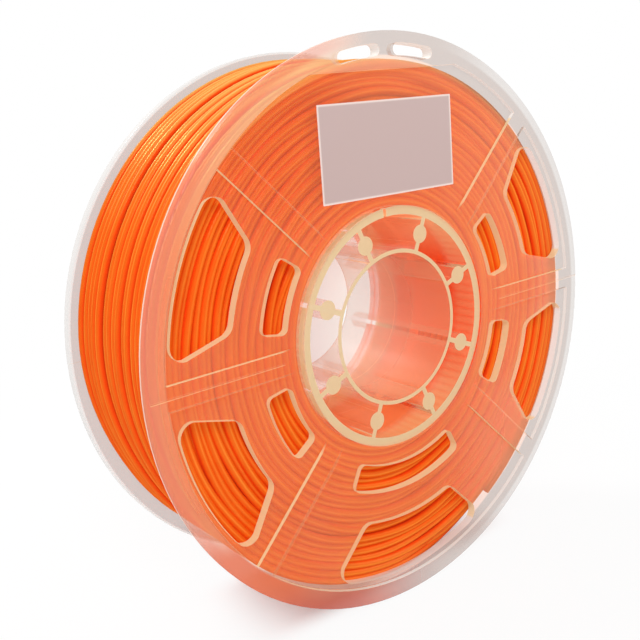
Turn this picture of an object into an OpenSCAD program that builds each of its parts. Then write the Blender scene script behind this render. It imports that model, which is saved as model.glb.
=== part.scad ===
// Filament spool: two clear mouldings that meet in the middle of the hub, the
// filament wound on their drum, and the label on the front flange.
// The spool's axis runs along Y, with the labelled flange towards -Y, +Z up and
// the origin in the middle of the bore.

/* [Spool] */
// Diameter of both flanges
flange_d = 200; // [190:1:260]
// Width over both flanges
spool_w = 61; // [50:1:90]
// Diameter of the bore that goes over a spindle
bore_d = 52.5; // [30:0.5:58]

/* [Flange] */
// Thickness of a flange at its rim and its spokes
flange_t = 4.2; // [3:0.1:6]
// Depth of the panels sunk into the outer face
panel_depth = 1.2; // [0.6:0.1:2]
// Width of the raised rim round the panels
rim_w = 6.6; // [5:0.1:8]
// Radius on the two edges of the rim
rim_round = 0.9; // [0.3:0.1:1.4]
// Width of a raised spoke between two panels
spoke_w = 8; // [5:0.5:10]
// Distance from the drum to where a spoke starts to rise from the panels' floor
spoke_start = 3.5; // [1:0.5:6]
// Length of the slope up which a spoke rises
spoke_slope = 6; // [2:0.5:10]
// Width of the fine parting groove down the two level spokes
groove_w = 0.5; // [0.3:0.1:1]
// Depth of the parting groove
groove_depth = 0.25; // [0.1:0.05:0.5]

/* [Hub] */
// Outside diameter of the drum under the filament
drum_d = 85; // [79:0.5:90]
// Wall of the drum
drum_wall = 3; // [2:0.1:4]
// Wall of the bore tube
tube_wall = 1.4; // [1:0.1:2.5]
// Depth of the drum's end and of the tube, ribs and posts below the rim
hub_recess = 2; // [1.5:0.1:3]
// Number of ribs between the tube and the drum
rib_count = 8; // [4:1:12]
// Thickness of a rib
rib_t = 1.8; // [1:0.1:3]
// Diameter of the ejector post half way along each rib
post_d = 6.5; // [4:0.1:7]
// Gap in the middle of the spool between the ribs of the two mouldings
rib_gap = 3; // [1:0.5:8]
// Width of the gate notch in the end of the drum
gate_w = 1.2; // [0.6:0.1:2]
// Depth of the gate notch
gate_depth = 1.5; // [0.5:0.1:3]
// Length of the lip that centres one moulding in the other
lip_l = 3; // [1:0.5:5]
// Play between the lip and its rebate
lip_play = 0.1; // [0.05:0.05:0.3]

/* [Windows] */
// Distance from the drum to the small windows
small_gap = 6.9; // [5:0.1:9]
// Radial height of the small windows
small_h = 9.8; // [7:0.1:12]
// Web between the small and the large windows
web_w = 11; // [8:0.5:14]
// Land between the large windows and the rim
land_w = 1.9; // [1:0.1:3]
// Corner radius of the large windows
large_corner = 4.8; // [3:0.1:6]
// Corner radius of the small windows
small_corner = 2.3; // [1.5:0.1:3]
// Half angle of a large side window at its outer corners
side_large_half = 16.3; // [12:0.1:17]
// Half angle of the large bottom window at its outer corners
low_large_half = 22.7; // [18:0.1:30]
// Half angle of a small side window
side_small_half = 12.5; // [8:0.1:14]
// Half angle of the small bottom window
low_small_half = 26.2; // [15:0.1:30]
// How much narrower a large window is at its inner corners, in degrees
taper_angle = 3.8; // [0:0.1:6]

/* [Tie-off] */
// Height of the plain land between the chord over the label panel and the rim's edge
tie_land = 12.3; // [10:0.1:15]
// Width of a tie-off slot
tie_slot_w = 4; // [3:0.1:5]
// Distance from the rim's edge to the middle of a tie-off slot
tie_slot_in = 6; // [5:0.1:8]
// Distance from the middle of the spool to the near end of a slot
tie_slot_near = 3; // [2:0.5:6]
// Distance from the middle of the spool to the far end of a slot
tie_slot_far = 21; // [15:0.5:28]

/* [Filament] */
// Diameter of the filament
filament_d = 2.85; // [1.6:0.05:3]
// Distance from the rim's edge to the outside of the winding
fill_gap = 5; // [3:0.5:20]
// Rise from one layer of turns to the next, as a share of the filament's diameter
layer_rise = 0.87; // [0.8:0.01:0.95]
// How far every other layer's last turn nests inwards, as a share of the diameter
nest_share = 0.46; // [0.35:0.01:0.5]
// Turns in the outer layer of the winding
turn_count = 15; // [8:1:15]
// Play between the wound filament and the mouldings
wound_play = 0.2; // [0.1:0.05:0.5]

/* [Label] */
// Width of the label
label_w = 60; // [40:0.5:66]
// Height of the label
label_h = 31.5; // [20:0.5:34]
// Thickness of the label
label_t = 0.15; // [0.1:0.05:0.4]
// Distance from the chord down to the label
label_drop = 9.6; // [6:0.1:12]
// How far the label sits to the right of the middle
label_shift = 0; // [-3:0.1:3]

/* [Hidden] */
$fn = 180;
// Overlap that makes joined shapes one solid, and the overrun of a cut
eps = 0.01;
over = 1;
clear_plastic = [0.93, 0.89, 0.87, 0.4];

flange_r = flange_d / 2;
half_w = spool_w / 2;
bore_r = bore_d / 2;
tube_r = bore_r + tube_wall;
drum_r = drum_d / 2;
drum_in_r = drum_r - drum_wall;
post_r = (tube_r + drum_in_r) / 2;
panel_r = flange_r - rim_w;
collar_r = drum_r + spoke_start;
chord_h = flange_r - tie_land;

// The lip takes the inner half of the drum's wall
lip_r = drum_in_r + drum_wall / 2 - lip_play / 2;
rebate_r = lip_r + lip_play;

// Directions of the spokes: every 45 degrees, but none up the label or the bottom panel
spoke_step = 45;
spoke_angles = [0, 45, 135, 180, 225, 315];
level_spokes = [0, 180];
side_windows = [22.5, 157.5, 202.5, 337.5];
low_window = 270;
first_rib = 22.5;
gate_angle = 94.5;

small_in = drum_r + small_gap;
small_out = small_in + small_h;
large_in = small_out + web_w;
large_out = panel_r - land_w;

tie_r = flange_r - tie_slot_in;

// The winding: 24 rings of 6 sides to each turn
ring_step = 15;
ring_sides = 6;
rings_per_turn = 360 / ring_step;
wound_r = flange_r - fill_gap;
strand_r = filament_d / 2;
winding_r = wound_r - strand_r;
wound_half = half_w - flange_t - wound_play;
turn_pitch = (2 * wound_half - filament_d) / turn_count;
core_r = winding_r * cos(ring_step / 2) - strand_r - wound_play;

// The layers under it, whose last turns show through the flanges
first_r = drum_r + wound_play + strand_r;
layer_count = round((winding_r - first_r) / (filament_d * layer_rise));
layer_step = (winding_r - first_r) / layer_count;
core_layers = floor((core_r - strand_r - first_r) / layer_step) + 1;
last_turn = wound_half - strand_r;
nest = filament_d * nest_share;
// A last turn's section is drawn with eight sides, whose flats touch the true circle
bead_sides = 8;
bead_r = strand_r / cos(180 / bead_sides);

// ---- Outlines -------------------------------------------------------------

// Points along an arc about c, from angle a0 up to but not at a1
function arc_points(c, r, a0, a1, n) =
    [for (i = [0 : n - 1]) let (a = a0 + (a1 - a0) * i / n) c + r * [cos(a), sin(a)]];

// Outline of a window whose middle lies along +X: two arcs about the spool's axis,
// joined by straight slanted sides with a round corner at each end
function window_outline(r_in, r_out, half_out, half_in, corner) =
    let (
        a = half_out - asin(corner / (r_out - corner)),
        b = half_in - asin(corner / (r_in + corner)),
        outer = (r_out - corner) * [cos(a), sin(a)],
        inner = (r_in + corner) * [cos(b), sin(b)],
        run = inner - outer,
        side = atan2(run.y, run.x) + 270,
        steps = ceil(a / 2),
        half = concat(
            arc_points([0, 0], r_out, 0, a, steps),
            arc_points(outer, corner, a, side, 8),
            arc_points(inner, corner, side, b + 180, 6),
            arc_points([0, 0], r_in, b, 0, steps),
            [[r_in, 0]]
        ),
        n = len(half)
    )
    concat(half, [for (i = [n - 2 : -1 : 1]) [half[i].x, -half[i].y]]);

// Outline of a slot that follows an arc about the spool's axis, with round ends
function arc_slot_outline(r, w, a0, a1) =
    concat(
        arc_points([0, 0], r + w / 2, a0, a1, 5),
        arc_points(r * [cos(a1), sin(a1)], w / 2, a1, a1 + 180, 10),
        arc_points([0, 0], r - w / 2, a1, a0, 5),
        arc_points(r * [cos(a0), sin(a0)], w / 2, a0 + 180, a0 + 360, 10)
    );

// ---- Mouldings ------------------------------------------------------------
// A moulding is drawn lying on its outer face: Z is the depth into the spool and
// Y is up the flange.

// A plain ring between two radii and two depths
module ring(r_in, r_out, z0, z1) {
    translate([0, 0, z0])
        difference() {
            cylinder(r = r_out, h = z1 - z0);
            translate([0, 0, -over])
                cylinder(r = r_in, h = z1 - z0 + 2 * over);
        }
}

// The flange's disc, with a round edge on each side of the rim
module flange_disc() {
    rotate_extrude() {
        translate([drum_in_r, 0])
            square([flange_r - rim_round - drum_in_r, flange_t]);
        translate([flange_r - 2 * rim_round, rim_round])
            square([2 * rim_round, flange_t - 2 * rim_round]);
        for (z = [rim_round, flange_t - rim_round])
            translate([flange_r - rim_round, z])
                circle(r = rim_round, $fn = 48);
    }
}

// A raised spoke, before its slope near the hub is cut
module spoke() {
    translate([drum_r, -spoke_w / 2, -2 * over])
        cube([flange_r, spoke_w, flange_t]);
}

// What is cut from the outer face: the panels between the spokes, under the
// rim and under the chord, the collar round the hub and the slopes of the spokes
module panel_cut() {
    cylinder(r1 = collar_r + spoke_slope, r2 = collar_r, h = panel_depth);
    translate([0, 0, -over])
        cylinder(r = collar_r + spoke_slope, h = over + eps);
    difference() {
        translate([0, 0, -over])
            cylinder(r = panel_r, h = panel_depth + over);
        for (a = spoke_angles)
            rotate(a)
                spoke();
        translate([-flange_r, chord_h, -2 * over])
            cube([2 * flange_r, flange_r, flange_t]);
    }
}

// One window through the flange, with its middle at angle a
module window(a, r_in, r_out, half_out, half_in, corner) {
    rotate(a)
        translate([0, 0, -over])
            linear_extrude(flange_t + 2 * over)
                polygon(window_outline(r_in, r_out, half_out, half_in, corner));
}

// A large and a small window in each side panel, and a wider pair at the bottom
module windows() {
    for (a = side_windows) {
        window(a, large_in, large_out, side_large_half, side_large_half - taper_angle, large_corner);
        window(a, small_in, small_out, side_small_half, side_small_half, small_corner);
    }
    window(low_window, large_in, large_out, low_large_half, low_large_half - taper_angle, large_corner);
    window(low_window, small_in, small_out, low_small_half, low_small_half, small_corner);
}

// Two curved slots over the label that hold the filament's loose end
module tie_slots() {
    near = asin((tie_slot_near + tie_slot_w / 2) / tie_r);
    far = asin((tie_slot_far - tie_slot_w / 2) / tie_r);
    for (side = [0, 1])
        mirror([side, 0, 0])
            translate([0, 0, -over])
                linear_extrude(flange_t + 2 * over)
                    polygon(arc_slot_outline(tie_r, tie_slot_w, 90 - far, 90 - near));
}

// The fine groove down the middle of the two level spokes
module parting_grooves() {
    for (a = level_spokes)
        rotate(a)
            translate([collar_r, -groove_w / 2, -over])
                cube([flange_r - rim_round - collar_r, groove_w, groove_depth + over]);
}

// The mark that the gate leaves across the end of the drum's wall
module gate_notch() {
    rotate(gate_angle)
        translate([drum_in_r - over, -gate_w / 2, 0])
            cube([drum_wall + over, gate_w, gate_depth + hub_recess]);
}

// The hole in the middle of a flange: the drum's width down to the drum's end, and
// from there on to the middle of its wall
module flange_hole() {
    translate([0, 0, -over]) {
        cylinder(r = drum_r, h = hub_recess + over);
        cylinder(r = drum_r - drum_wall / 2, h = flange_t + 2 * over);
    }
}

// A rib from the tube to the drum, with its ejector post
module rib() {
    depth = half_w - rib_gap / 2 - hub_recess;
    translate([tube_r - tube_wall / 2, -rib_t / 2, hub_recess])
        cube([drum_in_r - tube_r + tube_wall / 2 + eps, rib_t, depth]);
    translate([post_r, 0, hub_recess])
        cylinder(d = post_d, h = depth);
}

// One moulding without its lip or rebate
module moulding() {
    difference() {
        union() {
            difference() {
                flange_disc();
                panel_cut();
                windows();
                tie_slots();
                parting_grooves();
                flange_hole();
            }
            ring(drum_in_r, drum_r, hub_recess, half_w);
        }
        gate_notch();
    }
    difference() {
        union() {
            cylinder(r = tube_r, h = half_w);
            for (i = [0 : rib_count - 1])
                rotate(first_rib + i * 360 / rib_count)
                    rib();
        }
        translate([0, 0, -over])
            cylinder(r = tube_r + over, h = hub_recess + over);
        translate([0, 0, -over])
            cylinder(r = bore_r, h = spool_w);
    }
}

// The front moulding, whose lip reaches into the rear one
module front_half() {
    color(clear_plastic)
        translate([0, -half_w, 0])
            rotate([90, 0, 0])
                mirror([0, 0, 1]) {
                    moulding();
                    ring(drum_in_r, lip_r, half_w - lip_l, half_w + lip_l);
                }
}

// The rear moulding, with the rebate that the lip fits
module rear_half() {
    color(clear_plastic)
        translate([0, half_w, 0])
            rotate([90, 0, 0])
                difference() {
                    moulding();
                    ring(drum_in_r - lip_play, rebate_r, half_w - lip_l - lip_play, half_w + over);
                }
}

// ---- Filament and label ---------------------------------------------------

// The wound filament under its outer layer, with the last turn of each layer round:
// every other one lies against the flange, and the next nests into it
module filament_core() {
    half = last_turn - nest / 2;
    color("darkorange")
        rotate([90, 0, 0])
            rotate_extrude() {
                translate([drum_r + wound_play, -half])
                    square([core_r - drum_r - wound_play, 2 * half]);
                for (i = [0 : core_layers - 1])
                    for (side = [-1, 1])
                        translate([first_r + i * layer_step, side * (last_turn - (i % 2) * nest)])
                            rotate(180 / bead_sides)
                                circle(r = bead_r, $fn = bead_sides);
            }
}

// Middle of the strand i rings along the outer layer
function strand_point(i) =
    let (a = i * ring_step)
    [
        winding_r * cos(a),
        -wound_half + strand_r + turn_pitch * i / rings_per_turn,
        winding_r * sin(a)
    ];

// The strand's straight end, one diameter past ring i along the turn (dir is 1 or -1)
function strand_end(i, dir) =
    let (a = i * ring_step)
    strand_point(i) + dir * filament_d * [-sin(a), 0, cos(a)];

// Six corners round the strand at point p, where the turn has reached angle a
function strand_ring(p, a) =
    [for (k = [0 : ring_sides - 1])
        let (f = k * 360 / ring_sides)
        p + strand_r * [cos(f) * cos(a), sin(f), cos(f) * sin(a)]];

// Least distance between turns, from each ring to those more than half a turn on
function least_gap(points) =
    let (n = len(points), apart = rings_per_turn / 2)
    min([for (i = [0 : n - 1 - apart])
        for (j = [i + apart : n - 1])
            norm(points[i] - points[j])]) - filament_d;

// The outer layer of turns, one unbroken tube with a straight piece at each end
module filament_winding() {
    last = turn_count * rings_per_turn;
    path = [for (i = [0 : last]) strand_point(i)];
    rings = concat(
        [strand_ring(strand_end(0, -1), 0)],
        [for (i = [0 : last]) strand_ring(path[i], i * ring_step)],
        [strand_ring(strand_end(last, 1), last * ring_step)]
    );
    count = len(rings);
    corners = [for (r = rings) for (p = r) p];
    sides = [for (i = [0 : count - 2])
        for (k = [0 : ring_sides - 1])
            let (
                a = i * ring_sides + k,
                b = i * ring_sides + (k + 1) % ring_sides,
                c = a + ring_sides,
                d = b + ring_sides
            )
            each [[a, c, b], [b, c, d]]];
    top = (count - 1) * ring_sides;
    caps = [for (k = [1 : ring_sides - 2])
        each [[0, k, k + 1], [top, top + k + 1, top + k]]];
    echo(str("Winding: ", turn_count, " turns, least gap to itself ", least_gap(path), " mm"));
    color("orangered")
        polyhedron(corners, concat(sides, caps));
}

// The paper label, stuck to the floor of the top panel
module label() {
    color("lavenderblush")
        translate([
            label_shift - label_w / 2,
            panel_depth - half_w - label_t,
            chord_h - label_drop - label_h
        ])
            cube([label_w, label_t, label_h]);
}

front_half();
rear_half();
filament_core();
filament_winding();
label();
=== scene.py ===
"""Looks of a filament spool: two clear mouldings, the wound strand and a blank label."""

from __future__ import annotations

import logging
import math
from collections.abc import Iterable, Mapping, Sequence
from dataclasses import dataclass, field
from enum import Enum
from typing import NamedTuple

import bpy
import numpy as np
from mathutils import Matrix, Vector


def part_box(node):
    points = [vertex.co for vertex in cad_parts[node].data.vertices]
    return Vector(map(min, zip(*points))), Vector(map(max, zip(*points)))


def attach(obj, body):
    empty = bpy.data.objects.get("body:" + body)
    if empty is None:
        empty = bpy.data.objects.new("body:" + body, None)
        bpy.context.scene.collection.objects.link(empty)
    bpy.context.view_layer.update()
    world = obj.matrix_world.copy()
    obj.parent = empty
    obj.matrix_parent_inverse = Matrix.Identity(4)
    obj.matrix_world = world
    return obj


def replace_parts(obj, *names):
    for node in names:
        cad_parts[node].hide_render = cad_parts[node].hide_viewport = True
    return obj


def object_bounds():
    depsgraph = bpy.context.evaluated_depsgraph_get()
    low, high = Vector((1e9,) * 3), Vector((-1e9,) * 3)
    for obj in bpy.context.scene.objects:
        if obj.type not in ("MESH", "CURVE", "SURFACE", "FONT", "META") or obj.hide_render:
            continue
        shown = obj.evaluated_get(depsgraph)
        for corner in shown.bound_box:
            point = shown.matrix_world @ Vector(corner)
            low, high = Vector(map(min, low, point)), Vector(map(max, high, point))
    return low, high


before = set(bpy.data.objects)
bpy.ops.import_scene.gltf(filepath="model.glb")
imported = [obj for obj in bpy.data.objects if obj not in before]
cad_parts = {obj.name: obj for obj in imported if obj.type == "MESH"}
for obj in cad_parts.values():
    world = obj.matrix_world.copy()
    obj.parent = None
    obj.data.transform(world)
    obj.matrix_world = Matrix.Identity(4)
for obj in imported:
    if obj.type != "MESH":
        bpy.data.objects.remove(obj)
CAD_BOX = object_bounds()
MM = 0.001
ROOT = "root"
CREST = "crest"
LOG = logging.getLogger("spool")

Array = np.ndarray
Colour = tuple[float, float, float]
Inputs = Mapping[str | int, object]
Material = bpy.types.Material
Node = bpy.types.Node
Object = bpy.types.Object
Socket = bpy.types.NodeSocket
Span = tuple[float, float]
WHITE: Colour = (1.0, 1.0, 1.0)
BLACK: Colour = (0.0, 0.0, 0.0)
# How many clear surfaces a ray may pass
CLEAR_SURFACES = 32


# ---- Shader building --------------------------------------------------------


class Value:
    """A number socket of a node tree, with its maths written as Python operators."""

    def __init__(self, tree: ShaderTree, socket: Socket) -> None:
        """Wrap an output socket of a tree."""
        self.tree = tree
        self.socket = socket

    def _math(self, operation: str, *operands: Operand, clamp: bool = False) -> Value:
        """Add a Math node.

        Args:
            operation: The Math node's operation.
            operands: Its inputs, in order.
            clamp: Whether the result is kept from 0 to 1.

        Returns:
            The node's result.
        """
        sockets = dict(enumerate(operands))
        node = self.tree.node("Math", sockets, operation=operation, use_clamp=clamp)
        return Value(self.tree, node.outputs[0])

    def __add__(self, other: Operand) -> Value:
        """Sum."""
        return self._math("ADD", self, other)

    def __radd__(self, other: float) -> Value:
        """Sum, reflected."""
        return self._math("ADD", other, self)

    def __sub__(self, other: Operand) -> Value:
        """Difference."""
        return self._math("SUBTRACT", self, other)

    def __rsub__(self, other: float) -> Value:
        """Difference, reflected."""
        return self._math("SUBTRACT", other, self)

    def __mul__(self, other: Operand) -> Value:
        """Product."""
        return self._math("MULTIPLY", self, other)

    def __rmul__(self, other: float) -> Value:
        """Product, reflected."""
        return self._math("MULTIPLY", other, self)

    def __truediv__(self, other: Operand) -> Value:
        """Quotient."""
        return self._math("DIVIDE", self, other)

    def __rtruediv__(self, other: float) -> Value:
        """Quotient, reflected."""
        return self._math("DIVIDE", other, self)

    def __abs__(self) -> Value:
        """Size without its sign."""
        return self._math("ABSOLUTE", self)

    def root(self) -> Value:
        """Square root."""
        return self._math("SQRT", self)

    def power(self, exponent: float) -> Value:
        """The value raised to a power."""
        return self._math("POWER", self, exponent)

    def clamped(self) -> Value:
        """The value kept from 0 to 1."""
        return self._math("ADD", self, 0.0, clamp=True)

    def step(self, low: float, high: float) -> Value:
        """Rise smoothly from 0 to 1 between two values.

        Args:
            low: Where the result is 0.
            high: Where the result is 1.

        Returns:
            The smooth step.
        """
        sockets = {"Value": self, "From Min": low, "From Max": high}
        node = self.tree.node("MapRange", sockets, interpolation_type="SMOOTHSTEP")
        return Value(self.tree, node.outputs[0])


Operand = Value | float


class ShaderTree:
    """A new material or world tree, and the one way nodes are added to it."""

    def __init__(self, owner: Material | bpy.types.World) -> None:
        """Empty the owner's tree.

        Args:
            owner: The material or world whose nodes are made here.
        """
        owner.use_nodes = True
        self.tree = owner.node_tree
        self.tree.nodes.clear()

    def node(self, kind: str, sockets: Inputs | None = None, **settings: object) -> Node:
        """Add one node.

        Args:
            kind: The node's type, after "ShaderNode".
            sockets: Its inputs, each a number, a colour or a link.
            settings: Its properties, set before the sockets.

        Returns:
            The node.
        """
        made = self.tree.nodes.new(f"ShaderNode{kind}")
        for name, value in settings.items():
            setattr(made, name, value)
        for name, value in (sockets or {}).items():
            self._set_socket(made.inputs[name], value)
        return made

    def _set_socket(self, socket: Socket, value: object) -> None:
        """Link a socket, or set its default value.

        Args:
            socket: An input socket.
            value: A link, a colour or a number.
        """
        if isinstance(value, Value):
            self.tree.links.new(value.socket, socket)
        elif isinstance(value, Socket):
            self.tree.links.new(value, socket)
        elif isinstance(value, tuple) and socket.type == "RGBA":
            socket.default_value = (*value, 1.0)
        else:
            socket.default_value = value

    def value(self, node: Node, output: str | int = 0) -> Value:
        """An output of a node, as a Value."""
        return Value(self, node.outputs[output])

    def slant(self) -> Value:
        """0 where the surface faces the ray, and 1 where it runs along it."""
        return self.value(self.node("LayerWeight", {0: 0.5}), "Facing")

    def blend(self, share: Operand, first: Socket, second: Socket) -> Socket:
        """Mix two shaders, by the second one's share."""
        return self.node("MixShader", {0: share, 1: first, 2: second}).outputs[0]

    def mix(self, factor: Operand, first: object, second: object) -> Socket:
        """Mix two colours, or links to them, by the second one's share."""
        return self.node("Mix", {0: factor, 6: first, 7: second}, data_type="RGBA").outputs[2]

    def place(self) -> tuple[Value, Value, Value]:
        """The point's place in the spool's frame, in metres, as three values."""
        parts = self.node("SeparateXYZ", {0: self.node("TexCoord").outputs["Object"]})
        return tuple(self.value(parts, axis) for axis in range(3))

    def noise(self, scale: float, detail: float = 2.0, stretch: Colour | None = None) -> Value:
        """Noise in the spool's frame.

        Args:
            scale: Its scale, per metre.
            detail: How many octaves it has.
            stretch: A factor on each axis before the noise is read.

        Returns:
            The noise, about 0.5 in the mean.
        """
        vector = self.node("TexCoord").outputs["Object"]
        if stretch is not None:
            sockets = {0: vector, 1: stretch}
            vector = self.node("VectorMath", sockets, operation="MULTIPLY").outputs[0]
        sockets = {"Vector": vector, "Scale": scale, "Detail": detail}
        return self.value(self.node("TexNoise", sockets))

    def bump(self, height: Value, depth: float, strength: float = 1.0) -> Socket:
        """A normal from a height's pattern, whose 1 stands for a depth in metres."""
        sockets = {"Strength": strength, "Distance": depth, "Height": height}
        return self.node("Bump", sockets).outputs[0]

    def close(self, surface: Socket, kind: str = "OutputMaterial") -> None:
        """Link the finished surface to the tree's output."""
        self.node(kind, {0: surface})


def new_material(name: str) -> tuple[Material, ShaderTree]:
    """A new material with an empty tree."""
    material = bpy.data.materials.new(name)
    return material, ShaderTree(material)


# ---- Finishes ---------------------------------------------------------------


@dataclass(frozen=True)
class Coat:
    """How one region of the clear plastic looks: how much it hides, its colour and its painted
    glow.
    """

    share: float
    # Its colour, partly the plastic's milky haze and partly painted light: the strand's orange
    # scattered and reflected in the plastic.
    colour: Colour
    # Painted glow: an emission that stands in for light carried through the plastic.
    light: Colour = BLACK


class Layers:
    """Coats laid one over another, each on its own region of a surface."""

    def __init__(self, tree: ShaderTree) -> None:
        """Start with a surface that hides nothing.

        Args:
            tree: The material's tree.
        """
        self.tree = tree
        self.share: Operand = 0.0
        self.colour: object = (0.9, 0.9, 0.9)
        self.light: object = BLACK

    def lay(self, mask: Value, coat: Coat) -> None:
        """Lay a coat over what is there.

        Args:
            mask: Where it lies, from 0 to 1.
            coat: The coat.
        """
        self.share = self.share + mask * (coat.share - self.share)
        self.colour = self.tree.mix(mask, self.colour, coat.colour)
        self.light = self.tree.mix(mask, self.light, coat.light)

    def over(self, clear: Socket) -> Socket:
        """The coats over a clear surface.

        Args:
            clear: The clear surface's shader.

        Returns:
            The mixed shader.
        """
        sockets = {
            "Base Color": self.colour,
            "Roughness": 0.6,
            "Specular IOR Level": 0.0,
            # The coats' painted glow.
            "Emission Color": self.light,
            "Emission Strength": 1.0,
        }
        solid = self.tree.node("BsdfPrincipled", sockets).outputs[0]
        return self.tree.blend(self.share, clear, solid)


@dataclass(frozen=True)
class FlangeZones:
    """Where the flanges' coats rise from 0 to 1.

    Radii and depths are in millimetres, and places along X, Y and Z in metres. A coat that
    lies below its span takes 1 minus it.
    """

    outside_hub: Span = (42.55, 42.65)
    rim: Span = (92.4, 93.4)
    rim_lean: float = 10.0
    rim_growth: float = 3.9
    rim_growth_x: Span = (-0.020, 0.050)
    rear_y: Span = (-0.001, 0.001)
    beside_x: Span = (-0.035, -0.005)
    low_x: Span = (-0.035, 0.022)
    low_z: Span = (-0.092, -0.070)
    below_x: Span = (-0.060, -0.020)
    below_z: Span = (-0.058, -0.036)
    brim: Span = (98.9, 99.3)
    upper_lean: float = 0.4
    upper_z: Span = (0.075, 0.125)
    left_x: Span = (-0.050, 0.0)
    left_z: Span = (0.020, 0.070)
    middle: Span = (64.0, 84.0)
    middle_z: Span = (0.020, 0.050)
    middle_loss: float = 0.55
    right_x: Span = (0.0, 0.060)
    right_z: Span = (0.060, 0.080)
    right_loss: float = 0.5
    right_loss_z: Span = (0.015, 0.045)
    land_z: Span = (0.0872, 0.0882)
    outer_rim: Span = (95.8, 97.2)
    outer_rim_x: Span = (0.020, 0.060)
    upper_rim_z: Span = (0.030, 0.080)
    outer_left_rim: Span = (95.6, 98.0)
    panel_depth: Span = (29.25, 29.35)
    run_out: Span = (46.5, 53.0)
    window_depth: Span = (27.5, 27.7)
    pale: Span = (90.6, 91.2)
    pale_x: Span = (-0.06, -0.01)
    lip_depth: Span = (27.6, 27.9)


@dataclass(frozen=True)
class HubZones:
    """Where the hub's coats rise from 0 to 1, in the units of the flanges' zones."""

    outside: Span = (42.45, 42.55)
    outside_tube: Span = (28.6, 29.0)
    outside_bore: Span = (26.7, 27.1)
    bore_back: float = 0.45
    pale_bore_y: Span = (-0.030, 0.024)
    drum: Span = (38.6, 39.0)
    level_rib_x: Span = (0.0, 0.01)
    level_rib_z: Span = (0.0010, 0.0014)
    deep_x: Span = (0.024, 0.038)
    top_z: Span = (0.012, 0.030)
    top_loss: float = 0.6
    top_loss_x: Span = (0.004, 0.030)
    bottom_x: Span = (0.010, 0.032)
    bottom_z: Span = (-0.036, -0.020)
    drum_end_depth: Span = (13.0, 19.0)
    end_depth: Span = (28.2, 28.4)


class Surface(NamedTuple):
    """A point of the plastic: its place, and masks of the kind of surface it lies on.

    Its distance from the axis and its depth from the middle are in millimetres.
    """

    x: Value
    y: Value
    z: Value
    out: Value
    depth: Value
    facing: Value
    wall: Value
    corner: Value


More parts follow.
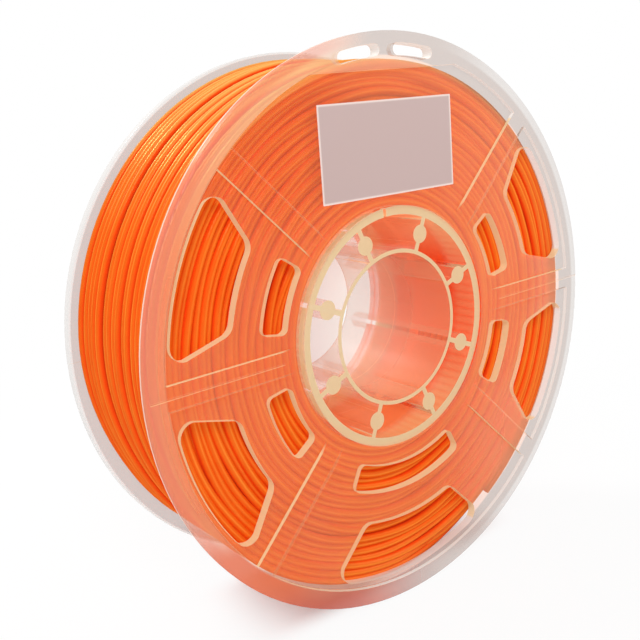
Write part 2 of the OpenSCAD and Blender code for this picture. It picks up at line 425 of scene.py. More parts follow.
@dataclass(frozen=True)
class ClearPlastic:
    """Clear moulded polystyrene: hazy faces, a soft sheen, and painted highlights and a painted
    glow on its edges.
    """

    tint: Colour = (0.992, 0.982, 0.975)
    # The panels: partly the plastic's milky haze, partly painted light, the strand's orange
    # scattered in the haze with a painted glow, more towards the top, the right and the top land,
    # less at the upper left.
    panel: Coat = Coat(0.32, (0.84, 0.28, 0.11), (0.18, 0.075, 0.025))
    upper_panel: Coat = Coat(0.36, (0.88, 0.44, 0.26), (0.18, 0.11, 0.06))
    left_panel: Coat = Coat(0.22, (0.80, 0.22, 0.08), (0.12, 0.035, 0.005))
    right_panel: Coat = Coat(0.40, (0.88, 0.42, 0.26), (0.22, 0.12, 0.065))
    land: Coat = Coat(0.46, (0.90, 0.50, 0.31), (0.13, 0.09, 0.045))
    # The rims: painted shade where the surround shows behind them, and the strand's orange as
    # painted reflection on the left and below, darkest at the bottom.
    cool_rim: Coat = Coat(0.47, (0.36, 0.22, 0.16))
    outer_rim: Coat = Coat(0.30, (0.42, 0.34, 0.29))
    warm_rim: Coat = Coat(0.38, (0.86, 0.46, 0.27), (0.10, 0.06, 0.035))
    upper_rim: Coat = Coat(0.60, (0.85, 0.50, 0.29), (0.06, 0.04, 0.02))
    outer_left_rim: Coat = Coat(0.62, (0.82, 0.30, 0.19), (0.04, 0.02, 0.01))
    left_rim: Coat = Coat(0.90, (0.82, 0.17, 0.06))
    low_rim: Coat = Coat(0.84, (0.60, 0.10, 0.05))
    # Painted highlights along the rims' lips.
    brim: Coat = Coat(0.85, (0.84, 0.64, 0.53), (0.12, 0.12, 0.10))
    far_brim: Coat = Coat(0.45, (0.72, 0.68, 0.65))
    # The walls and corners: partly the walls' own frosting, partly painted highlight and painted
    # glow.
    edge: Coat = Coat(0.88, (0.78, 0.58, 0.35), (0.12, 0.15, 0.08))
    pale_edge: Coat = Coat(0.60, (0.78, 0.72, 0.66), (0.08, 0.08, 0.07))
    corner: Coat = Coat(0.60, (0.92, 0.56, 0.33), (0.16, 0.08, 0.04))
    # The hub's coats: milky haze whose colours hold painted light, the strand's orange as painted
    # reflection in the ribs and bore, paler towards the rear of the bore, with a painted glow.
    rib: Coat = Coat(0.18, (0.93, 0.47, 0.28))
    tube: Coat = Coat(0.14, (0.84, 0.74, 0.62), (0.03, 0.04, 0.03))
    bore: Coat = Coat(0.36, (0.80, 0.36, 0.19), (0.06, 0.04, 0.01))
    pale_bore: Coat = Coat(0.44, (0.84, 0.63, 0.52), (0.04, 0.06, 0.06))
    # Painted glow on the drum's walls, lighter at the top and deeper red at the right, on the
    # level ribs, and cream on the drum's hidden walls and the hub's end faces.
    drum: Coat = Coat(0.50, (0.86, 0.22, 0.08), (0.29, 0.055, 0.02))
    deep_drum: Coat = Coat(0.60, (0.88, 0.09, 0.02), (0.31, 0.022, 0.0))
    top_drum: Coat = Coat(0.70, (0.88, 0.42, 0.20), (0.42, 0.19, 0.095))
    low_drum: Coat = Coat(0.56, (0.84, 0.28, 0.10), (0.22, 0.055, 0.015))
    level_rib: Coat = Coat(0.62, (0.88, 0.34, 0.20), (0.10, 0.03, 0.02))
    drum_end: Coat = Coat(0.88, (0.56, 0.42, 0.23), (0.24, 0.22, 0.13))
    end: Coat = Coat(0.92, (0.77, 0.56, 0.32), (0.05, 0.045, 0.03))
    sheen: float = 0.012
    glancing_sheen: float = 0.22
    glancing_power: float = 5.0
    hub_sheen: float = 0.15
    roughness: float = 0.22
    haze_scale: float = 34.0
    haze_least: float = 0.86
    haze_range: float = 0.28
    wall_slant: Span = (0.55, 0.9)
    corner_size: float = 0.3 * MM
    corner_likeness: Span = (0.80, 0.985)
    flange_at: FlangeZones = FlangeZones()
    hub_at: HubZones = HubZones()

    def build(self) -> Material:
        """Make the material.

        Returns:
            A see-through surface with haze, a sheen, and painted highlights and a painted glow on
            its edges.
        """
        material, tree = new_material("clear_plastic")
        surface = self._surface(tree)
        layers = Layers(tree)
        flange = self._flange(layers, surface)
        self._hub(layers, surface)
        body = layers.over(tree.node("BsdfTransparent", {0: self.tint}).outputs[0])
        gloss = tree.node("BsdfGlossy", {0: WHITE, "Roughness": self.roughness}).outputs[0]
        sheen = self.sheen + self.glancing_sheen * tree.slant().power(self.glancing_power)
        sheen = sheen * surface.facing * (self.hub_sheen + (1 - self.hub_sheen) * flange)
        tree.close(tree.blend(sheen, body, gloss))
        return material

    def _surface(self, tree: ShaderTree) -> Surface:
        """What the coats ask of a point.

        Args:
            tree: The material's tree.

        Returns:
            The point's place, and its masks: 1 if it faces the viewer, if it runs along the
            axis, and if it lies on a corner that faces the viewer.
        """
        x, y, z = tree.place()
        geometry = tree.node("NewGeometry")
        normal = geometry.outputs["True Normal"]
        facing = 1 - tree.value(geometry, "Backfacing")
        split = tree.node("SeparateXYZ", {0: normal})
        wall = 1 - abs(tree.value(split, 1)).step(*self.wall_slant)
        soft = tree.node("Bevel", {0: self.corner_size}, samples=4).outputs[0]
        dot = tree.node("VectorMath", {0: soft, 1: normal}, operation="DOT_PRODUCT")
        corner = (1 - tree.value(dot, "Value").step(*self.corner_likeness)) * facing
        out = (x * x + z * z).root() / MM
        return Surface(x, y, z, out, abs(y) / MM, facing, wall, corner)

    def _flange(self, layers: Layers, surface: Surface) -> Value:
        """Lay the flanges' coats.

        Args:
            layers: The coats so far.
            surface: The point that they lie on.

        Returns:
            1 on the flanges and 0 on the hub.
        """
        at = self.flange_at
        x, y, z, out, depth, facing, wall, corner = surface
        flange = out.step(*at.outside_hub)
        rear = y.step(*at.rear_y)
        brim = out.step(*at.brim)

        # The panels' haze: partly the plastic's own, with painted light, more towards the top, the
        # right and the top land and less at the upper left.
        haze = self.haze_least + self.haze_range * layers.tree.noise(self.haze_scale, 3.0)
        upper = (z + at.upper_lean * x).step(*at.upper_z)
        left = z.step(*at.left_z) * (1 - x.step(*at.left_x))
        middle = (1 - abs(z).step(*at.middle_z)) * (1 - out.step(*at.middle))
        right = x.step(*at.right_x) * (1 - z.step(*at.right_z)) * (1 - at.middle_loss * middle)
        right = right * (1 - at.right_loss * z.step(*at.right_loss_z))
        faces = flange * facing
        panels = (self.panel, self.upper_panel, self.left_panel, self.right_panel, self.land)
        for mask, coat in zip((haze, upper, left, right, z.step(*at.land_z)), panels, strict=True):
            layers.lay(faces * mask, coat)

        # The rims: painted shade, and painted reflection of the strand on the left and below;
        # where they start leans with x, after what shows behind them.
        reach = out + at.rim_lean * x + at.rim_growth * x.step(*at.rim_growth_x)
        rim = reach.step(*at.rim) * faces
        beside = (1 - x.step(*at.beside_x)) * (1 - rear)
        below = (1 - z.step(*at.below_z)) * (1 - x.step(*at.below_x)) * (1 - rear)
        low = (1 - z.step(*at.low_z)) * (1 - x.step(*at.low_x))
        layers.lay(rim, self.cool_rim)
        layers.lay(rim * out.step(*at.outer_rim) * x.step(*at.outer_rim_x), self.outer_rim)
        layers.lay(rim * beside, self.warm_rim)
        layers.lay(rim * beside * z.step(*at.upper_rim_z), self.upper_rim)
        layers.lay(rim * beside * out.step(*at.outer_left_rim), self.outer_left_rim)
        layers.lay(rim * below, self.left_rim)
        layers.lay(rim * low, self.low_rim)

        # Painted highlight and painted glow on the walls and corners, partly the walls' own
        # frosting, and painted highlights on the rims' lips.
        floor = depth.step(*at.panel_depth)
        run_out = 1 - floor * (1 - out.step(*at.run_out))
        within = wall * flange * (1 - brim) * run_out
        behind = within * (1 - facing) * depth.step(*at.window_depth) * (1 - floor)
        edges = within * facing + behind
        layers.lay(corner * run_out * (1 - brim), self.corner)
        layers.lay(edges, self.edge)
        layers.lay(edges * out.step(*at.pale) * x.step(*at.pale_x), self.pale_edge)
        lip = brim * facing * (1 - depth.step(*at.lip_depth))
        layers.lay(lip * (1 - rear), self.brim)
        layers.lay(brim * facing * rear, self.far_brim)
        return flange

    def _hub(self, layers: Layers, surface: Surface) -> None:
        """Lay the hub's coats.

        Args:
            layers: The coats so far.
            surface: The point that they lie on.
        """
        at = self.hub_at
        x, y, z, out, depth, facing, wall, corner = surface
        hub = 1 - out.step(*at.outside)
        tube = 1 - out.step(*at.outside_tube)
        drum = out.step(*at.drum) * hub
        ribs = hub * (1 - tube) * (1 - drum)
        level = (1 - abs(z).step(*at.level_rib_z)) * x.step(*at.level_rib_x)
        # Painted reflection of the strand in the ribs and bore, paler towards the rear of the
        # bore, with a painted glow.
        layers.lay(ribs, self.rib)
        layers.lay(ribs * level, self.level_rib)
        layers.lay(tube, self.tube)
        bore = 1 - out.step(*at.outside_bore)
        bore = bore * (at.bore_back + (1 - at.bore_back) * facing)
        layers.lay(bore, self.bore)
        layers.lay(bore * y.step(*at.pale_bore_y), self.pale_bore)

        # A painted glow on the drum's walls, lighter at the top and deeper red at the right, and
        # cream on its hidden walls.
        drum_face = drum * wall * facing
        top = z.step(*at.top_z) * (1 - at.top_loss * x.step(*at.top_loss_x))
        bottom = (1 - z.step(*at.bottom_z)) * (1 - x.step(*at.bottom_x))
        drum_end = depth.step(*at.drum_end_depth)
        layers.lay(drum_face, self.drum)
        layers.lay(drum_face * x.step(*at.deep_x), self.deep_drum)
        layers.lay(drum_face * top, self.top_drum)
        layers.lay(drum_face * bottom, self.low_drum)
        layers.lay(drum * wall * (1 - facing) * drum_end, self.drum_end)
        # Painted highlight on the hub's corners, and a cream painted glow on its end faces.
        layers.lay(corner * hub, self.corner)
        layers.lay(hub * (1 - wall) * depth.step(*at.end_depth) * facing, self.end)


@dataclass(frozen=True)
class StrandZones:
    """Where the strand's colours, its painted shade, painted light and painted highlights change.

    Places and radii are in metres, and crests run from -1 at the back of a turn to 1 on its
    top.
    """

    outside: Span = (0.0895, 0.092)
    lit_z: Span = (0.020, 0.080)
    sunny_z: Span = (0.058, 0.092)
    bright_z: Span = (0.040, 0.085)
    face_y: Span = (-0.0262, -0.0225)
    face_radius: Span = (0.078, 0.088)
    face_lean: float = 0.6
    face_x: Span = (0.0, 0.045)
    flank: Span = (0.15, 0.90)
    line: Span = (0.90, 0.995)
    gloss: Span = (0.1, 0.8)


@dataclass(frozen=True)
class OrangeStrand:
    """Orange filament: a smooth drawn strand, with painted shade and a painted glow down in the
    grooves, painted light on its upper and front turns and painted highlights on its crests.
    """

    colour: Colour = (0.91, 0.110, 0.005)
    patch: Colour = (0.94, 0.155, 0.009)
    # Painted shade down in the grooves, and a painted glow there that lightens it.
    painted_groove_shade: Colour = (0.90, 0.074, 0.005)
    groove_glow: Colour = (0.045, 0.008, 0.002)
    # Painted light on the outer turns towards the top, stronger near the very top, and on the
    # front turns.
    painted_upper_light: Colour = (0.92, 0.180, 0.012)
    painted_front_light: Colour = (0.91, 0.172, 0.023)
    painted_top_light: Colour = (0.93, 0.400, 0.085)
    # Painted highlights along the crests, yellower at the top.
    painted_crest_highlight: Colour = (1.0, 0.240, 0.026)
    painted_top_highlight: Colour = (1.0, 0.560, 0.180)
    highlight: Colour = (1.0, 0.56, 0.20)
    gloss: float = 0.035
    glancing_gloss: float = 0.16
    glancing_power: float = 4.0
    roughness: float = 0.22
    uneven_roughness: float = 0.12
    cloud_scale: float = 55.0
    cloud: Span = (0.35, 0.65)
    grain_scale: float = 900.0
    grain_depth: float = 0.03 * MM
    grain_share: float = 0.6
    turn_scale: Colour = (16.0, 300.0, 16.0)
    turn: Span = (0.38, 0.62)
    line_turn: Span = (0.35, 0.60)
    faint_line: float = 0.45
    at: StrandZones = StrandZones()

    def build(self) -> Material:
        """Make the material.

        Returns:
            The strand's material, a little uneven in colour and gloss.
        """
        material, tree = new_material("orange_strand")
        crest = tree.value(tree.node("Attribute", attribute_name=CREST), "Fac")
        turns = tree.noise(1.0, 2.0, self.turn_scale)
        grain = tree.noise(self.grain_scale, 2.0)
        rough = self.roughness + self.uneven_roughness * (grain - 0.5)
        sockets = {
            "Base Color": self._colour(tree, crest, turns),
            "Roughness": 0.5,
            "Specular IOR Level": 0.0,
            "Normal": tree.bump(grain, self.grain_depth, self.grain_share),
            # Painted glow down in the grooves.
            "Emission Color": tree.mix(crest.step(*self.at.flank), self.groove_glow, BLACK),
            "Emission Strength": 1.0,
        }
        body = tree.node("BsdfPrincipled", sockets).outputs[0]
        gloss = tree.node("BsdfGlossy", {0: self.highlight, "Roughness": rough}).outputs[0]
        shine = self.gloss + self.glancing_gloss * tree.slant().power(self.glancing_power)
        tree.close(tree.blend(shine * crest.step(*self.at.gloss), body, gloss))
        return material

    def _colour(self, tree: ShaderTree, crest: Value, turns: Value) -> Socket:
        """The strand's colour, with painted shade in the grooves, painted light on the upper and
        front turns and painted highlights on the crests.

        Args:
            tree: The material's tree.
            crest: How far a point stands out of the grooves.
            turns: Noise that differs from turn to turn.

        Returns:
            The colour's socket.
        """
        at = self.at
        x, y, z = tree.place()
        out = (x * x + z * z).root()
        cloud = tree.noise(self.cloud_scale, 3.0)
        shade = 0.5 * cloud.step(*self.cloud) + 0.5 * turns.step(*self.turn)
        outside = out.step(*at.outside)
        # Painted light on the front turns, and on the outer turns towards the top.
        painted_front_light = (1 - y.step(*at.face_y)) * out.step(*at.face_radius)
        painted_front_light = painted_front_light * (x - at.face_lean * z).step(*at.face_x)
        top = tree.mix(shade, self.colour, self.patch)
        top = tree.mix(z.step(*at.lit_z) * outside, top, self.painted_upper_light)
        top = tree.mix(z.step(*at.sunny_z) * outside, top, self.painted_top_light)
        top = tree.mix(painted_front_light, top, self.painted_front_light)
        # Painted shade down in the grooves.
        colour = tree.mix(crest.step(*at.flank), self.painted_groove_shade, top)
        # Painted highlights along the crests, fainter on some turns, yellower at the top.
        line = self.faint_line + (1 - self.faint_line) * turns.step(*self.line_turn)
        painted_highlight = tree.mix(z.step(*at.bright_z) * outside, self.painted_crest_highlight, self.painted_top_highlight)
        return tree.mix(crest.step(*at.line) * line, colour, painted_highlight)


@dataclass(frozen=True)
class CoatedPaper:
    """Coated label paper, a little lighter in a thin band along its edges."""

    colour: Colour = (0.56, 0.41, 0.385)
    patch: Colour = (0.72, 0.56, 0.66)
    patch_share: float = 0.10
    patch_scale: float = 26.0
    edge: Colour = (0.90, 0.74, 0.68)
    edge_share: float = 0.9
    edge_inside: Span = (0.3 * MM, 0.9 * MM)
    roughness: float = 0.42
    uneven_roughness: float = 0.1
    fibre_scale: float = 2600.0
    fibre_depth: float = 0.02 * MM
    fibre_share: float = 0.5

    def build(self, border: LabelBorder) -> Material:
        """Make the material.

        Args:
            border: Where the label's edges are.

        Returns:
            The paper's material.
        """
        material, tree = new_material("coated_paper")
        x, _, z = tree.place()
        turn = math.radians(border.tilt)
        cos, sin = math.cos(turn), math.sin(turn)
        x, z = x - border.x, z - border.z
        across, up = x * cos + z * sin, z * cos - x * sin
        near, far = self.edge_inside
        half_width, half_height = border.width / 2, border.height / 2
        side = abs(across).step(half_width - far, half_width - near)
        top = abs(up).step(half_height - far, half_height - near)
        rim = (side + top).clamped()
        fibre = tree.noise(self.fibre_scale, 3.0)
        cloud = (tree.noise(self.patch_scale, 2.0) - 0.5).clamped()
        body = tree.mix(self.patch_share * cloud, self.colour, self.patch)
        sockets = {
            "Base Color": tree.mix(rim * self.edge_share, body, self.edge),
            "Roughness": self.roughness + self.uneven_roughness * (fibre - 0.5),
            "Normal": tree.bump(fibre, self.fibre_depth, self.fibre_share),
        }
        tree.close(tree.node("BsdfPrincipled", sockets).outputs[0])
        return material


# ---- Mesh building ----------------------------------------------------------


def linked(name: str, data: bpy.types.ID) -> Object:
    """Make an object in the scene's collection.

    Args:
        name: Its name.
        data: Its mesh, lamp or camera.

    Returns:
        The object.
    """
    made = bpy.data.objects.new(name, data)
    bpy.context.scene.collection.objects.link(made)
    return made


@dataclass
class Mesh:
    """Vertices and faces that grow into one mesh object."""

    points: list[Array] = field(default_factory=list)
    crests: list[Array] = field(default_factory=list)
    faces: list[tuple[int, ...]] = field(default_factory=list)
    count: int = 0

    def add(
        self,
        points: Array,
        faces: Iterable[Sequence[int]],
        crest: Array | None = None,
    ) -> None:
        """Add a part of the mesh.

        Args:
            points: Its points, in metres.
            faces: Its faces, numbered from its own first point.
            crest: How far each point stands out of the grooves, from -1 to 1.
        """
        start = self.count
        self.points.append(points)
        self.crests.append(np.full(len(points), -1.0) if crest is None else crest)
        self.faces.extend(tuple(i + start for i in f) for f in faces)
        self.count += len(points)

    def tube(self, path: Array, radius: float, sides: int, *open_ways: Array) -> None:
        """Add a round strand along a path that goes round the Y axis.

        Args:
            path: Points along its middle, in metres.
            radius: The strand's radius, in metres.
            sides: How many sides its section has.
            open_ways: The directions from each point to the open sides of the winding.
        """
        ahead = np.gradient(path, axis=0)
        ahead /= np.linalg.norm(ahead, axis=1)[:, None]
        out = path * np.array([1.0, 0.0, 1.0])
        out -= (out * ahead).sum(1)[:, None] * ahead
        out /= np.linalg.norm(out, axis=1)[:, None]
        side = np.cross(ahead, out)
        turn = np.arange(sides) * 2 * math.pi / sides
        cos, sin = np.cos(turn)[:, None], np.sin(turn)[:, None]
        spread = cos * out[:, None] + sin * side[:, None]
        ring = path[:, None] + radius * spread
        crest = np.max([(spread * way[:, None]).sum(-1) for way in open_ways], axis=0)
        self.rings(ring, crest.reshape(-1))

    def rings(self, rings: Array, crest: Array | None = None) -> None:
        """Add rings of points, each joined to the next.

        Args:
            rings: The points of each ring in order, in metres.
            crest: The points' crests, for an open tube. Without them the last ring meets the
                first.
        """
        count, corners = rings.shape[:2]
        index = np.arange(count * corners).reshape(count, corners)
        ahead = np.roll(index, -1, axis=0)
        quads = [index, np.roll(index, -1, axis=1), np.roll(ahead, -1, axis=1), ahead]
        faces = np.stack(quads, axis=-1).reshape(-1, 4).tolist()
        if crest is not None:
            faces[-corners:] = [index[0, ::-1].tolist(), index[-1].tolist()]
        self.add(rings.reshape(-1, 3), faces, crest)

    def build(self, name: str, material: Material) -> Object:
        """Make the object.

        Args:
            name: Its name.
            material: Its material.

        Returns:
            The object, smooth shaded, in the scene's collection.
        """
        mesh = bpy.data.meshes.new(name)
        mesh.from_pydata(np.concatenate(self.points).tolist(), [], self.faces)
        mesh.materials.append(material)
        mesh.shade_smooth()
        crest = mesh.attributes.new(CREST, "FLOAT", "POINT")
        crest.data.foreach_set("value", np.concatenate(self.crests).astype(np.float32))
        mesh.update()
        return linked(name, mesh)


def eased(share: Array) -> Array:
    """A share from 0 to 1 that starts and ends gently."""
    return share * share * (3 - 2 * share)


class Side(Enum):
    """Which flange a part of the winding lies against."""

    FRONT = -1
    REAR = 1


@dataclass
class Wander:
    """A smooth, seeded unevenness along a strand."""

    seed: int
    waves: int = 5
    rates: Span = (0.3, 2.3)
    weights: Span = (0.4, 1.0)

    def along(self, turns: Array, size: float) -> Array:
        """How far the strand strays at each point.

        Args:
            turns: The points' places along the strand, in turns.
            size: About how far it strays, in metres.

        Returns:
            The offset at each point, in metres.
        """
        draw = np.random.default_rng(self.seed)
        total = np.zeros_like(turns)
        for _ in range(self.waves):
            rate = draw.uniform(*self.rates)
            phase = draw.uniform(0, 2 * math.pi)
            total += draw.uniform(*self.weights) * np.sin(2 * math.pi * rate * turns + phase)
        return total * size / math.sqrt(self.waves)


# ---- Sub-assemblies ---------------------------------------------------------


@dataclass
class Mouldings:
    """The two clear halves, which keep the frame's own solids."""

    nodes: tuple[str, ...] = ("front_half", "rear_half")

    def dress(self, finish: ClearPlastic) -> list[Object]:
        """Give both halves their plastic.

        Args:
            finish: The plastic.

        Returns:
            The two nodes' objects.
        """
        material = finish.build()
        halves = [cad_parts[name] for name in self.nodes]
        for half in halves:
            half.data.materials.clear()
            half.data.materials.append(material)
        return halves


@dataclass(frozen=True)
class Fullness:
    """How full the spool is wound, which differs from place to place."""

    front: float = 93.5 * MM
    front_dip: float = 2.1 * MM
    dip_at: float = 85.0
    dip_sharpness: int = 3
    rear: float = 94.9 * MM
    rear_swell: float = 2.2 * MM
    swell_at: float = 130.0
    swell_from: float = 0.2
    swell_over: float = 0.55

    def outside(self, across: Array, angle: Array) -> Array:
        """The radius of the winding's outside.

        Args:
            across: 0 at the front flange and 1 at the rear one.
            angle: The angle round the axis, in radians.

        Returns:
            The radius, in metres.
        """
        near_dip = np.cos(angle - math.radians(self.dip_at))
        near_swell = np.cos(angle - math.radians(self.swell_at))
        dip = np.clip(near_dip, 0, 1) ** self.dip_sharpness
        swell = np.clip((near_swell - self.swell_from) / self.swell_over, 0, 1)
        front = self.front - self.front_dip * dip
        rear = self.rear + self.rear_swell * eased(swell)
        return front + (rear - front) * across


@dataclass(frozen=True)
class LayerPlan:
    """How one layer of turns is wound.

    It strays inwards by its rise and sideways by its drift, in metres. It is seen from 1,
    outside, or from -1, the drum.
    """

    name: str
    layer: int
    seed: int
    rise: float
    drift: float
    seen_from: float = 1.0


@dataclass(frozen=True)
class EndTurns:
    """How the last turn of a layer climbs into the next one, in turns and metres."""

    seed: int = 5
    tail: float = 0.35
    climb: Span = (0.6, 1.4)
    climb_length: float = 0.035
    kept_before: float = 0.6
    kept_after: float = 0.75
    sink_rate: float = 1.3
    drift: float = 0.10 * MM
    rise: float = 0.12 * MM
    nest: float = 1.0 * MM
    sway: float = 0.55 * MM
    sway_seed: int = 71
    sway_waves: tuple[int, ...] = (2, 3, 5, 7, 9, 12)
    sway_weights: Span = (0.5, 1.0)
    sway_twist: float = 9 * MM
    sway_start: float = 4 * MM


@dataclass(frozen=True)
class Packing:
    """The plain ring under the turns: its first and last layer, and its place behind them."""

    first: float = 0.3
    last_below_top: float = 2.4
    behind: float = 1.2 * MM
    segments: int = 180


@dataclass
class WoundStrand:
    """The strand in its layers: the ones that show, over a plain packing."""

    diameter: float = 2.85 * MM
    first_radius: float = 44.125 * MM
    layer_step: float = 2.4725 * MM
    layers: int = 21
    turns: int = 17
    half_width: float = 26.1 * MM
    stray: float = 0.30 * MM
    levels: Span = (-1.0, 0.3)
    sunk_share: float = 0.3
    sunk: float = 0.6 * MM
    drift_rate: float = 0.9
    rise_wander: float = 0.35
    sides: int = 12
    steps: int = 120
    step_over: float = 0.1
    step_at: float = -60.0
    brink_sharpness: int = 15
    fullness: Fullness = Fullness()
    ends: EndTurns = EndTurns()
    packing: Packing = Packing()

    @property
    def reach(self) -> float:
        """How far along the axis a strand's middle can lie."""
        return self.half_width - self.diameter / 2

    def radius(self, layer: float | Array, y: Array, angle: Array) -> Array:
        """The radius of a layer's middle.

        Args:
            layer: The layer's number, from the drum.
            y: The place along the axis, in metres.
            angle: The angle round the axis, in radians.

        Returns:
            The radius, in metres.
        """
        across = 0.5 + 0.5 * y / self.half_width
        outer = self.fullness.outside(across, angle) - self.diameter / 2
        nominal = self.layer_step * (self.layers - 1)
        return self.first_radius + layer * self.layer_step * (outer - self.first_radius) / nominal

    @staticmethod
    def around(radius: Array, y: Array, angle: Array) -> Array:
        """Points from radii, places along the axis and angles."""
        return np.stack([radius * np.cos(angle), y, radius * np.sin(angle)], axis=-1)

    def layer_turns(self, plan: LayerPlan) -> Array:
        """One layer of turns, each stepping over to the next at the same angle.

        Args:
            plan: How the layer is wound.

        Returns:
            Points along the strand.
        """
        draw = np.random.default_rng(plan.seed)
        places = np.linspace(-self.reach, self.reach, self.turns)
        places[1:-1] += draw.uniform(-self.stray, self.stray, self.turns - 2)
        levels = draw.uniform(*self.levels, self.turns) * plan.rise
        if plan.layer == self.layers - 1:
            levels[2:-2] -= self.sunk * (draw.random(self.turns - 4) < self.sunk_share)
            levels[0] = levels[-1] = 0.0
        turn = np.linspace(0, self.turns, self.turns * self.steps + 1)
        here = np.minimum(turn.astype(int), self.turns - 1)
        after = np.minimum(here + 1, self.turns - 1)
        share = eased(np.clip((turn - here - 1 + self.step_over) / self.step_over, 0, 1))
        y = places[here] * (1 - share) + places[after] * share
        y = y + Wander(plan.seed + 1).along(turn * self.drift_rate, plan.drift)
        y = np.clip(y, -self.reach, self.reach)
        angle = math.radians(self.step_at) + 2 * math.pi * turn
        level = levels[here] * (1 - share) + levels[after] * share
        level = level + Wander(plan.seed + 2).along(turn, plan.rise * self.rise_wander)
        return self.around(self.radius(plan.layer, y, angle) + level, y, angle)

    def end_turns(self, layer: int, side: Side, draw: np.random.Generator) -> Array:
        """The last turns of a layer and the first of the next, at one flange.

        Args:
            layer: The lower layer's number.
            side: The flange that they lie against.
            draw: The source of the unevenness.

        Returns:
            Points along the strand.
        """
        ends = self.ends
        pitch = 2 * self.reach / (self.turns - 1)
        count = int((2 + 2 * ends.tail) * self.steps)
        turn = np.linspace(-ends.tail, 2 + ends.tail, count)
        climb = draw.uniform(*ends.climb)
        up = 1 / (1 + np.exp(-(turn - climb) / ends.climb_length))
        first, last = climb - ends.kept_before, climb + ends.kept_after
        depth = np.where(turn < first, first - turn, 0) + np.where(turn > last, turn - last, 0)
        inward = ends.nest * up + pitch * ends.sink_rate * depth
        inward = inward + np.abs(Wander(int(draw.integers(1 << 30))).along(turn, ends.drift))
        start = draw.uniform(0.0, 2 * math.pi)
        angle = start + 2 * math.pi * (turn - climb)
        y = side.value * (self.reach - inward)
        radius = self.radius(layer + up, y, angle)
        radius = radius + self.swayed(radius, angle, side)
        radius = radius + Wander(int(draw.integers(1 << 30))).along(turn, ends.rise)
        return self.around(radius, y, angle)

    def swayed(self, radius: Array, angle: Array, side: Side) -> Array:
        """How far the end turns near a place sway outwards together.

        Args:
            radius: The places' radii, in metres.
            angle: Their angles, in radians.
            side: The flange that they lie against.

        Returns:
            The sway, in metres.
        """
        ends = self.ends
        draw = np.random.default_rng(ends.sway_seed + side.value)
        total = np.zeros_like(angle)
        for waves in ends.sway_waves:
            phase = draw.uniform(0, 2 * math.pi)
            twist = draw.uniform(-1.0, 1.0) * 2 * math.pi / ends.sway_twist
            wave = np.sin(waves * angle + phase + twist * radius)
            total += wave * draw.uniform(*ends.sway_weights)
        inside = np.clip((radius - self.first_radius) / ends.sway_start, 0, 1)
        return total * ends.sway / math.sqrt(len(ends.sway_waves)) * inside

    def build(self, finish: OrangeStrand) -> list[Object]:
        """Build every part of the winding that shows.

        Args:
            finish: The strand's finish.

        Returns:
            The pieces.
        """
        material = finish.build()
        top = self.layers - 1
        plans = (
            LayerPlan("outer_turns", top, 11, rise=0.5 * MM, drift=0.16 * MM),
            LayerPlan("under_turns", top - 1, 23, rise=0.1 * MM, drift=0.12 * MM),
            LayerPlan("first_turns", 0, 37, rise=0.04 * MM, drift=0.10 * MM, seen_from=-1.0),
        )
        outer, under, first = (self._layer(plan, material) for plan in plans)
        pieces = [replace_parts(outer, "filament_winding"), under, first]
        pieces += [self._ends(side, material) for side in Side]
        pieces.append(self._packing(material))
        for piece in pieces:
            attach(piece, ROOT)
        return pieces

    def _layer(self, plan: LayerPlan, material: Material) -> Object:
        """One layer of turns.

        Args:
            plan: How it is wound.
            material: The strand's material.

        Returns:
            The piece.
        """
        path = self.layer_turns(plan)
        outward = path * np.array([1.0, 0.0, 1.0])
        outward *= plan.seen_from / np.linalg.norm(outward, axis=1)[:, None]
        sideways = np.zeros_like(path)
        sideways[:, 1] = (path[:, 1] / self.reach) ** self.brink_sharpness
        mesh = Mesh()
        mesh.tube(path, self.diameter / 2, self.sides, outward, sideways)
        return mesh.build(plan.name, material)

    def _ends(self, side: Side, material: Material) -> Object:
        """The end turns of every layer at one flange.

        Args:
            side: The flange.
            material: The strand's material.

        Returns:
            The piece.
        """
        mesh = Mesh()
        draw = np.random.default_rng(self.ends.seed + side.value)
        for layer in range(0, self.layers - 1, 2):
            path = self.end_turns(layer, side, draw)
            open_way = np.tile([0.0, float(side.value), 0.0], (len(path), 1))
            mesh.tube(path, self.diameter / 2, self.sides, open_way)
        return mesh.build(f"{side.name.lower()}_end_turns", material)

    def _packing(self, material: Material) -> Object:
        """A plain ring that closes the view between the turns.

        Args:
            material: The strand's material.

        Returns:
            The piece.
        """
        mesh = Mesh()
        half = self.reach - self.packing.behind
        low, high = self.packing.first, self.layers - self.packing.last_below_top
        section = [(low, -half), (low, half), (high, half), (high, 0.0), (high, -half)]
        angle = np.arange(self.packing.segments) * 2 * math.pi / self.packing.segments
        corners = []
        for layer, y in section:
            along = np.full(len(angle), y)
            corners.append(self.around(self.radius(layer, along, angle), along, angle))
        mesh.rings(np.stack(corners, axis=1))
        piece = mesh.build("packed_layers", material)
        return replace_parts(piece, "filament_core")


@dataclass(frozen=True)
class LabelBorder:
    """Where the label's outline lies, in metres and degrees."""

    x: float
    z: float
    width: float
    height: float
    tilt: float


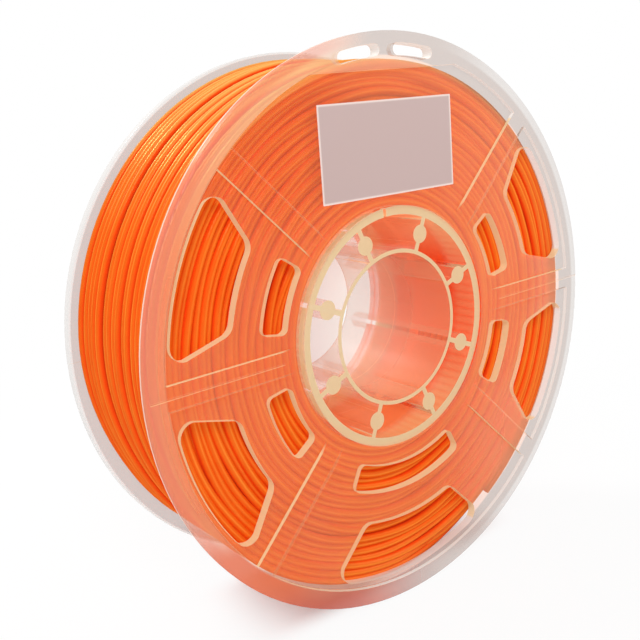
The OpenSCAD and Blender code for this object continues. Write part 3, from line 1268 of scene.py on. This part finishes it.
@dataclass
class Label:
    """The paper label, stuck a little askew on the top panel."""

    tilt: float = -0.45
    thickness: float = 0.13 * MM
    corner: float = 0.25 * MM
    corner_steps: int = 3
    proud: float = 0.02 * MM

    def build(self, finish: CoatedPaper) -> Object:
        """Build the label in its node's place.

        Args:
            finish: The paper.

        Returns:
            The label's piece.
        """
        low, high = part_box("label")
        middle = (low + high) / 2
        width, height = high.x - low.x, high.z - low.z
        border = LabelBorder(middle.x, middle.z, width, height, self.tilt)
        outline = self._outline(width / 2, height / 2)
        turn = math.radians(self.tilt)
        cos, sin = math.cos(turn), math.sin(turn)
        x, z = (outline @ np.array([[cos, sin], [-sin, cos]])).T
        back = high.y - self.proud
        mesh = Mesh()
        n = len(outline)
        layers = [
            np.column_stack([x + middle.x, np.full(n, y), z + middle.z])
            for y in (back - self.thickness, back)
        ]
        sides = [(i, n + i, n + (i + 1) % n, (i + 1) % n) for i in range(n)]
        faces = [tuple(range(n)), tuple(range(2 * n - 1, n - 1, -1)), *sides]
        mesh.add(np.concatenate(layers), faces)
        piece = mesh.build("blank_label", finish.build(border))
        piece.data.shade_flat()
        piece.visible_shadow = False
        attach(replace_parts(piece, "label"), ROOT)
        return piece

    def _outline(self, x: float, z: float) -> Array:
        """The label's outline, with small round corners.

        Args:
            x: Half its width, in metres.
            z: Half its height, in metres.

        Returns:
            Its points, about its own middle.
        """
        inner = np.array([x, z]) - self.corner
        points = []
        for i, way in enumerate([(1, 1), (-1, 1), (-1, -1), (1, -1)]):
            for step in range(self.corner_steps + 1):
                a = math.radians(90 * (i + step / self.corner_steps))
                points.append(inner * way + self.corner * np.array([math.cos(a), math.sin(a)]))
        return np.array(points)


# ---- Stage, lamps and camera ------------------------------------------------


@dataclass(frozen=True)
class Softbox:
    """A soft lamp that points at the spool: its place and width in metres, its power in watts."""

    name: str
    place: tuple[float, float, float]
    width: float
    power: float

    def build(self) -> None:
        """Make the lamp."""
        data = bpy.data.lights.new(self.name, "AREA")
        data.shape = "DISK"
        data.size = self.width
        data.energy = self.power
        lamp = linked(self.name, data)
        lamp.location = self.place
        lamp.rotation_euler = (-Vector(self.place)).to_track_quat("-Z", "Y").to_euler()


@dataclass
class Studio:
    """The pale floor, with its lengths in metres, the soft lamps and the surround."""

    world_light: float = 0.42
    floor_colour: Colour = (0.93, 0.93, 0.93)
    floor_reach: float = 3.0
    white_from: Span = (0.10, 0.40)
    shown_white: float = 0.92
    shadow_kept: float = 0.75
    shadow_x: Span = (0.030, 0.070)
    shadow_y: Span = (0.014, 0.026)
    softboxes: tuple[Softbox, ...] = (
        Softbox("key_softbox", (-0.55, -0.75, 0.95), 0.75, 8.0),
        Softbox("fill_softbox", (0.95, -0.65, 0.45), 0.8, 2.5),
        Softbox("back_softbox", (-0.2, 0.75, 0.75), 0.28, 6.0),
    )

    def build(self) -> None:
        """Build the floor, the world and the lamps."""
        self._world()
        self._floor()
        for softbox in self.softboxes:
            softbox.build()

    def _world(self) -> None:
        """A white surround for the camera and for reflections, dimmer as a light."""
        world = bpy.data.worlds.new("surround")
        bpy.context.scene.world = world
        tree = ShaderTree(world)
        dim = tree.node("Background", {0: WHITE, 1: self.world_light})
        white = tree.node("Background", {0: WHITE, 1: 1.0})
        mixed = tree.blend(self._seen(tree), dim.outputs[0], white.outputs[0])
        tree.close(mixed, "OutputWorld")

    @staticmethod
    def _seen(tree: ShaderTree) -> Value:
        """Which rays show the white surround.

        Args:
            tree: The tree that asks.

        Returns:
            1 for the rays that show it, and 0 for the ones that light the spool.
        """
        path = tree.node("LightPath")
        names = ("Is Camera Ray", "Is Glossy Ray", "Is Transmission Ray")
        camera, glossy, passed = (tree.value(path, name) for name in names)
        return (camera + glossy + passed).clamped()

    def _floor(self) -> None:
        """A floor that keeps the shadow near the spool and fades to white."""
        material, tree = new_material("pale_floor")
        x, y, _ = tree.place()
        away = (x * x + y * y).root()
        under = (1 - abs(x).step(*self.shadow_x)) * (1 - abs(y).step(*self.shadow_y))
        shown = self._seen(tree) * self.shown_white * (1 - self.shadow_kept * under)
        share = away.step(*self.white_from)
        share = share + shown * (1 - share)
        plain = tree.node("BsdfDiffuse", {0: self.floor_colour})
        white = tree.node("Emission", {0: WHITE, 1: 1.0})
        tree.close(tree.blend(share, plain.outputs[0], white.outputs[0]))
        ways = ((-1, -1), (1, -1), (1, 1), (-1, 1))
        reach, level = self.floor_reach, CAD_BOX[0].z
        mesh = Mesh()
        mesh.add(np.array([(reach * i, reach * j, level) for i, j in ways]), [(0, 1, 2, 3)])
        mesh.build("floor", material)


@dataclass(frozen=True)
class Viewpoint:
    """The camera: its place in metres, its aim in degrees and its lens in millimetres."""

    place: tuple[float, float, float] = (-0.19011, -0.22567, 0.07641)
    azimuth: float = -32.65
    elevation: float = 11.57
    roll: float = 5.78
    lens: float = 44.749
    sensor: float = 36.0
    shift_x: float = 0.125
    shift_y: float = -0.0578
    clip: Span = (0.01, 20.0)

    def build(self) -> None:
        """Make the scene's camera."""
        az, el, roll = (math.radians(a) for a in (self.azimuth, self.elevation, self.roll))
        ahead = Vector((-math.sin(az) * math.cos(el), math.cos(az) * math.cos(el), -math.sin(el)))
        level = Vector((math.cos(az), math.sin(az), 0.0))
        down = ahead.cross(level)
        right = math.cos(roll) * level + math.sin(roll) * down
        up = math.sin(roll) * level - math.cos(roll) * down
        data = bpy.data.cameras.new("camera")
        data.sensor_width = self.sensor
        data.lens = self.lens
        data.shift_x, data.shift_y = self.shift_x, self.shift_y
        data.clip_start, data.clip_end = self.clip
        camera = linked("camera", data)
        turn = Matrix((right, up, -ahead)).transposed().to_4x4()
        camera.matrix_world = Matrix.Translation(self.place) @ turn
        bpy.context.scene.camera = camera


def main() -> None:
    """Build the spool's pieces in order, then the studio and the camera."""
    bpy.context.scene.view_settings.view_transform = "Standard"
    bpy.context.scene.cycles.transparent_max_bounces = CLEAR_SURFACES
    for half in Mouldings().dress(ClearPlastic()):
        LOG.info("dressed %s", half.name)
    for piece in [*WoundStrand().build(OrangeStrand()), Label().build(CoatedPaper())]:
        LOG.info("built %s, %d faces", piece.name, len(piece.data.polygons))
    Studio().build()
    Viewpoint().build()


if __name__ == "__main__":
    logging.basicConfig(level=logging.INFO)
    main()
